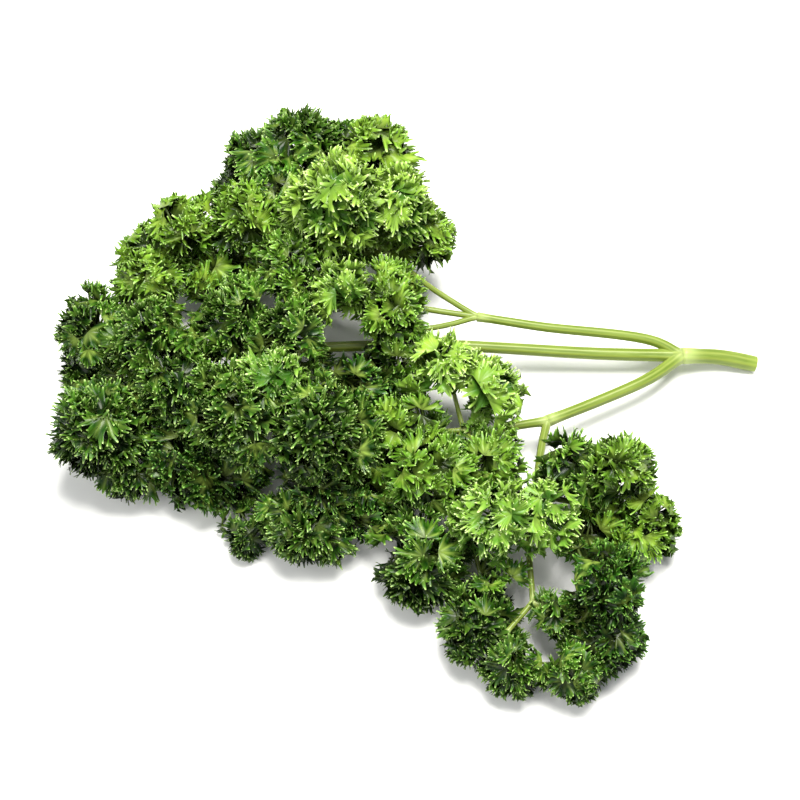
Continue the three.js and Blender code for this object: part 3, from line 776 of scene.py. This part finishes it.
def reach_to_neighbours(number, outward):
    """How much further, in mm, a leaflet stands out if it points within about 50 degrees of a head
    close by, by half of the gap and a little more, or of a closed spot, by all of it and more."""
    towards = np.vstack([head_middles, CLOSED]) - head_middles[number]
    distance = np.linalg.norm(towards, axis=1)
    gap = distance - head_radii[number]
    gap[:len(HEADS)] = (gap[:len(HEADS)] - head_radii) / 2
    near = (distance > 0) & (gap < FURTHEST)
    aim = outward @ unit(towards[near]).T
    wanted = np.clip(gap[near] + OVERLAP, 0, FURTHEST[near])
    return (np.clip((aim - AIMED) / AIM_FADE, 0, 1) * wanted).max(axis=1, initial=0)[:, None]


print(len(CLOSED), "closed spots between heads")

# %% [markdown]
# ## Open places
# Here and there the canopy stays open. Such holes could be cut out of the finished leaflets, but
# that would leave cut edges. Leaving out each leaflet in the way keeps all the others whole.

# %% Open places in the foliage: where they are, and their radii
GAPS = [(-95.2, 2.5, 3.4), (-70.8, -16.4, 2.2), (-65.9, -53.8, 1.6), (-50.6, -56.0, 3.2),
        (-55.8, -62.4, 1.6), (-53.8, -69.2, 1.8), (-51.8, -73.0, 2.2), (-89.6, 18.7, 1.2),
        (-89.1, -50.8, 1.8), (-62, -20.5, 0.8), (-51.3, -24, 1.8), (-54.2, -29, 1.6)]
GAP_HEIGHT = 12  # mm above the table, where the spots lie
GAP_WAY = np.array([0.0, -0.4226, 0.9063])
gap_spots = np.array([place((x, y, GAP_HEIGHT)) for x, y, _ in GAPS])
gap_radii = np.array([radius for _, _, radius in GAPS])


def clear_of_gaps(feet, out, lengths):
    """Which leaflets leave every gap open, a round channel that leans by 25 degrees: their middle
    stays its radius and a third of their length off its line."""
    away = (feet + 0.5 * lengths[:, None] * out)[:, None] - gap_spots
    off_line = np.linalg.norm(away - (away @ GAP_WAY)[..., None] * GAP_WAY, axis=2)
    return (off_line > gap_radii + lengths[:, None] / 3).all(axis=1)


print(len(GAPS), "gaps in the foliage")

# %% [markdown]
# ## Building a head
# The leaflets of a head stand in clumps and lean away from the middle of their clump, so the head
# is a round of smaller rounds, like a cauliflower. Leaflets that all point straight out would
# make a brush. Where a margin reaches past the round of the head it bends back, and that crowds
# the teeth into a fine, even fringe.

# %% Tips bent back on to the round of their head
DRAWN_IN, BENT_FROM = 0.65, 0.97  # shares of what a tip stands out, and of the radius


def bent_back(points, middle, radii):
    """Points beyond their radius, drawn in towards the middle by a part of what they stand out."""
    away = points - middle
    far = np.linalg.norm(away, axis=-1, keepdims=True)
    return points - away / far * DRAWN_IN * np.maximum(far - radii, 0)


print("a tip 2 mm out stays", 2 * (1 - DRAWN_IN), "mm out")

# %% How many leaflets a dome has, where they stand in it and how they lean
SEED = 100
LEAFLETS_PER_MM2, FEWEST, FEWER_IF_OPEN = 0.43, 12, 0.45
CLUMPS_PER_MM2, FEWEST_CLUMPS = 0.085, 3
HEAD_CAP = math.radians(105)
LEAN_LEAST, LEAN_MOST, LEAN_SPREAD = 0.1, 1.35, 0.2  # radians
LEAN_AT_MIDDLE, LEAN_IF_OPEN, LEAN_TO_RIM = 0.3, 0.35, 1.6
LENGTHS, USUAL_RADIUS, LONGER_IF_OPEN = (4.5, 6.3), 9, 0.4  # mm, mm and a share
SHELL, CLUMP_SHELL, LEAFLET_SHELL = 0.98, (0.74, 0.98), (-0.08, 0.06)  # shares of the radius
ALONG_SPREAD, CLUMP_ROUND = 0.12, 0.12
FOOT_INWARD, FOOT_BACK = 0.8, 0.3  # shares of the leaflet's length
LOWEST_FOOT = 0.8  # mm above the table
print("a usual head has", round(LEAFLETS_PER_MM2 * USUAL_RADIUS**2), "leaflets")


# %% The leaflets of a dome, gathered in clumps
def dome_leaflets(number, rng):
    """Feet, directions, facings and lengths of a head's own leaflets, and how much they reach out.
    A leaflet leans away from its clump's middle, more so further out in the clump, and shows the
    dome its upper face. Its direction is cos(lean) * outward + sin(lean) * along the dome."""
    middle, radius, axis = head_middles[number], head_radii[number], head_axes[number]
    opened = OPENED.get(HEADS[number][0], 0.0)
    count = max(FEWEST, round(LEAFLETS_PER_MM2 * radius**2 * (1 - FEWER_IF_OPEN * opened)))
    clumps = max(FEWEST_CLUMPS, round(CLUMPS_PER_MM2 * radius**2))
    outward = spread_directions(axis, count, HEAD_CAP, rng)
    clump_out = spread_directions(axis, clumps, HEAD_CAP, rng)
    closest = (outward @ clump_out.T).argmax(axis=1)
    beyond = outward - clump_out[closest]
    beyond -= (beyond * outward).sum(axis=1, keepdims=True) * outward
    offset = np.linalg.norm(beyond, axis=1, keepdims=True)
    along = unit(beyond + rng.normal(0, ALONG_SPREAD, (count, 3)))
    along = unit(along - (along * outward).sum(axis=1, keepdims=True) * outward)
    lean = (LEAN_AT_MIDDLE + LEAN_IF_OPEN * opened + LEAN_TO_RIM * offset
            + rng.normal(0, LEAN_SPREAD, (count, 1)))
    lean = np.clip(lean, LEAN_LEAST, LEAN_MOST)
    out = np.cos(lean) * outward + np.sin(lean) * along
    over = np.sin(lean) * outward - np.cos(lean) * along
    lengths = rng.uniform(*LENGTHS, count) * (radius / USUAL_RADIUS) ** 0.4
    lengths = lengths * (1 + LONGER_IF_OPEN * opened)
    raised = rng.uniform(*CLUMP_SHELL, (clumps, 1))[closest]
    shell = SHELL * raised - CLUMP_ROUND * offset + rng.uniform(*LEAFLET_SHELL, (count, 1))
    further = reach_to_neighbours(number, outward)
    shell = radius * shell + further
    feet = middle + outward * (shell - FOOT_INWARD * lengths[:, None] * np.cos(lean))
    feet -= FOOT_BACK * lengths[:, None] * np.sin(lean) * along
    feet[:, 2] = np.maximum(feet[:, 2], LOWEST_FOOT)
    keep = clear_of_gaps(feet, out, lengths)
    return [own[keep] for own in (feet, out, over, lengths, further)]


print("the first head keeps", len(dome_leaflets(0, np.random.default_rng(SEED))[0]), "leaflets")

# %% How light each point is painted, and how deep in the painted shade
SUNWARD = unit(np.array([0.1, 0.25, 1.0]))
LOW_SHADE, LOW_BEGINS, PAINTED_TOP_LIGHT = 0.25, 0.3, 0.4
LEAFLET_TONE, WAYSIDE_PAINTED_SHADE = 0.5, 0.2


def shade_head(number, blades, own, marks):
    """Sets the tone, the fork's and a part of the leaflet's, with painted light that rises towards
    the lamp, and the depth, which paints shade the way in from the dome and down. Leaflets after
    the own ones have one depth."""
    place_in_head = (blades - head_middles[number]) / head_radii[number]
    height = place_in_head @ SUNWARD
    fork_tone = FORK_TONES[HEADS[number][0]]
    marks["tone"] = LEAFLET_TONE * marks["tone"] + fork_tone - LEAFLET_TONE / 2
    # Painted light: the tone rises on the side of a head that faces the lamp, and the depth below
    # paints shade on its lower side.
    marks["tone"] += PAINTED_TOP_LIGHT * np.clip(height - LOW_BEGINS, -1, 1)
    marks["depth"] = (np.clip(1 - np.linalg.norm(place_in_head, axis=2), 0, 1)
                      + LOW_SHADE * np.clip(LOW_BEGINS - height, 0, 1))
    # Leaflets along the stalklets get one fixed painted shade.
    marks["depth"][own:] = WAYSIDE_PAINTED_SHADE


print("the light comes from", SUNWARD.round(2))

# %% One head: pale little stems and the leaflets they carry
STEM_RINGS, STEM_SIDES, STEM_RADIUS = 3, 4, 0.3
STEM_BOW, STEM_PAST_FOOT = 0.12, 0.5  # a share of the head's radius, and mm
STEM_FACES = rod_faces(STEM_RINGS, STEM_SIDES)
# The little stems get a middling tone and a fixed painted shade.
STEM_MARKS = {"reach": 0.08, "edge": 0, "furrow": 0, "rib": 0.5, "tone": 0.5, "under": 0,
              "depth": 0.3}


def head(number, node):
    """A head as one piece: a dome of leaflets on stems, and the leaflets along its stalklet."""
    rng = np.random.default_rng(SEED + number)
    middle, radius = head_middles[number], head_radii[number]
    feet, out, over, lengths, further = dome_leaflets(number, rng)
    count = len(feet)
    bow = head_axes[number] * radius * STEM_BOW + np.zeros((count, 1))
    necks = np.broadcast_to(head_necks[number], feet.shape)
    paths = bowed_paths(necks, feet + out * STEM_PAST_FOOT, bow, STEM_RINGS)
    stems = rods(paths, np.full((count, STEM_RINGS, STEM_SIDES), STEM_RADIUS))
    beside = wayside_leaflets(number, rng)
    keep = clear_of_gaps(beside[0], beside[1], beside[3])
    feet, out, over, lengths = (np.concatenate([own, more[keep]])
                                for own, more in zip((feet, out, over, lengths), beside))
    blades, marks = leaflets(feet, out, over, lengths, rng)
    blades[:count] = bent_back(blades[:count], middle, BENT_FROM * radius + further[..., None])
    shade_head(number, blades, count, marks)
    blade_count = len(feet)
    faces = [copies_of(LEAFLET_FACES, blade_count),
             copies_of(STEM_FACES, count) + blade_count * LEAFLET_POINTS]
    marks = {name: np.concatenate([values.ravel(), np.full(stems.size // 3, STEM_MARKS[name])])
             for name, values in marks.items()}
    points = np.vstack([blades.reshape(-1, 3), stems.reshape(-1, 3)])
    points[:, 2] = np.maximum(points[:, 2], RESTING)
    on_outline = np.arange(LEAFLET_POINTS) < len(OUTLINE)
    crisp = np.concatenate([np.tile(on_outline, blade_count), np.zeros(stems.size // 3, bool)])
    make_piece("crisped_" + node, node, points, faces, crisp, marks, LEAF_SKINS[slot_of[node]])
    return len(faces[0]) + 2 * len(faces[1]), blade_count


print("a stem has", 2 * len(STEM_FACES), "triangles")

# %% All heads, numbered along their branch as the CAD nodes are
branch_of = [next(b for b in BRANCHES if fork.startswith(b)) for fork, _, _ in HEADS]
nodes = [f"leaflets_{branch}_{branch_of[:i].count(branch) + 1:02d}"
         for i, branch in enumerate(branch_of)]
totals = np.array([head(i, node) for i, node in enumerate(nodes)])
print(len(nodes), "heads,", totals[:, 1].sum(), "leaflets,", totals[:, 0].sum(), "triangles;",
      "the largest", totals[:, 0].max())

# %% [markdown]
# ## The table, the light and the camera
# The spray lies on a plain pale table. One large soft lamp, almost overhead and a little behind,
# gives the leaves their shine and shadow, a weaker one from the front left keeps the hollows from
# going black, and a pale world fills the rest. A long lens from well above keeps the spray's true
# proportions.

# %% A pale table
def pale_table():
    """A smooth matt board, painted off-white: a bright, even ground."""
    finish, tree = new_finish("pale_matt_board")
    spot = put(tree, "TexCoord", out="Object")
    cloud = put(tree, "TexNoise", {"Vector": spot, "Scale": 6.0}, out="Fac")
    shader = put(tree, "BsdfPrincipled", {"Base Color": mixed(tree, cloud, "F4F4F2", "F7F7F6"),
                                          "Roughness": 0.85})
    put(tree, "OutputMaterial", {"Surface": shader})
    return finish


HALF = 1500.0
floor_mesh = bpy.data.meshes.new("table")
corners = HALF * MM * np.array([(-1, -1, 0), (1, -1, 0), (1, 1, 0), (-1, 1, 0)])
floor_mesh.from_pydata(corners.tolist(), [], [(0, 1, 2, 3)])
floor = bpy.data.objects.new("table", floor_mesh)
bpy.context.scene.collection.objects.link(floor)
floor_mesh.materials.append(pale_table())
print("table", 2 * HALF, "mm wide")

# %% Lamps and world
def soft_lamp(name, place_mm, width_mm, watts, colour):
    """A square lamp that faces the middle of the spray."""
    light = bpy.data.lights.new(name, "AREA")
    light.size, light.energy, light.color = width_mm * MM, watts, colour
    lamp = bpy.data.objects.new(name, light)
    lamp.location = Vector(place_mm) * MM
    lamp.rotation_euler = (-Vector(place_mm)).to_track_quat("-Z", "Y").to_euler()
    bpy.context.scene.collection.objects.link(lamp)


soft_lamp("key", (60, 150, 670), width_mm=340, watts=11.0, colour=(1.0, 0.985, 0.95))
soft_lamp("fill", (-420, -300, 520), width_mm=500, watts=2.4, colour=(1.0, 1.0, 0.96))
world = bpy.data.worlds.new("pale_room")
bpy.context.scene.world = world
world.use_nodes = True
room = world.node_tree.nodes["Background"].inputs
room["Color"].default_value = linear("F4F7FA")
room["Strength"].default_value = 0.42
bpy.context.scene.view_settings.view_transform = "Standard"
print("two lamps and a pale world")

# %% The camera
ELEVATION = math.radians(65)
LENS, SENSOR = 85.0, 36.0
SEEN_WIDTH = 180.0
AIM = Vector(place((-82.8, -14.1, 12.0)))
distance = SEEN_WIDTH / 2 / (SENSOR / 2 / LENS)
camera = bpy.data.objects.new("camera", bpy.data.cameras.new("camera"))
camera.data.lens, camera.data.sensor_width = LENS, SENSOR
back = Vector((0, -math.cos(ELEVATION), math.sin(ELEVATION)))
camera.location = (AIM + back * distance) * MM
camera.rotation_euler = (-back).to_track_quat("-Z", "Y").to_euler()
camera.data.clip_start, camera.data.clip_end = 0.01, 10
bpy.context.scene.collection.objects.link(camera)
bpy.context.scene.camera = camera
print("camera", round(distance), "mm away")
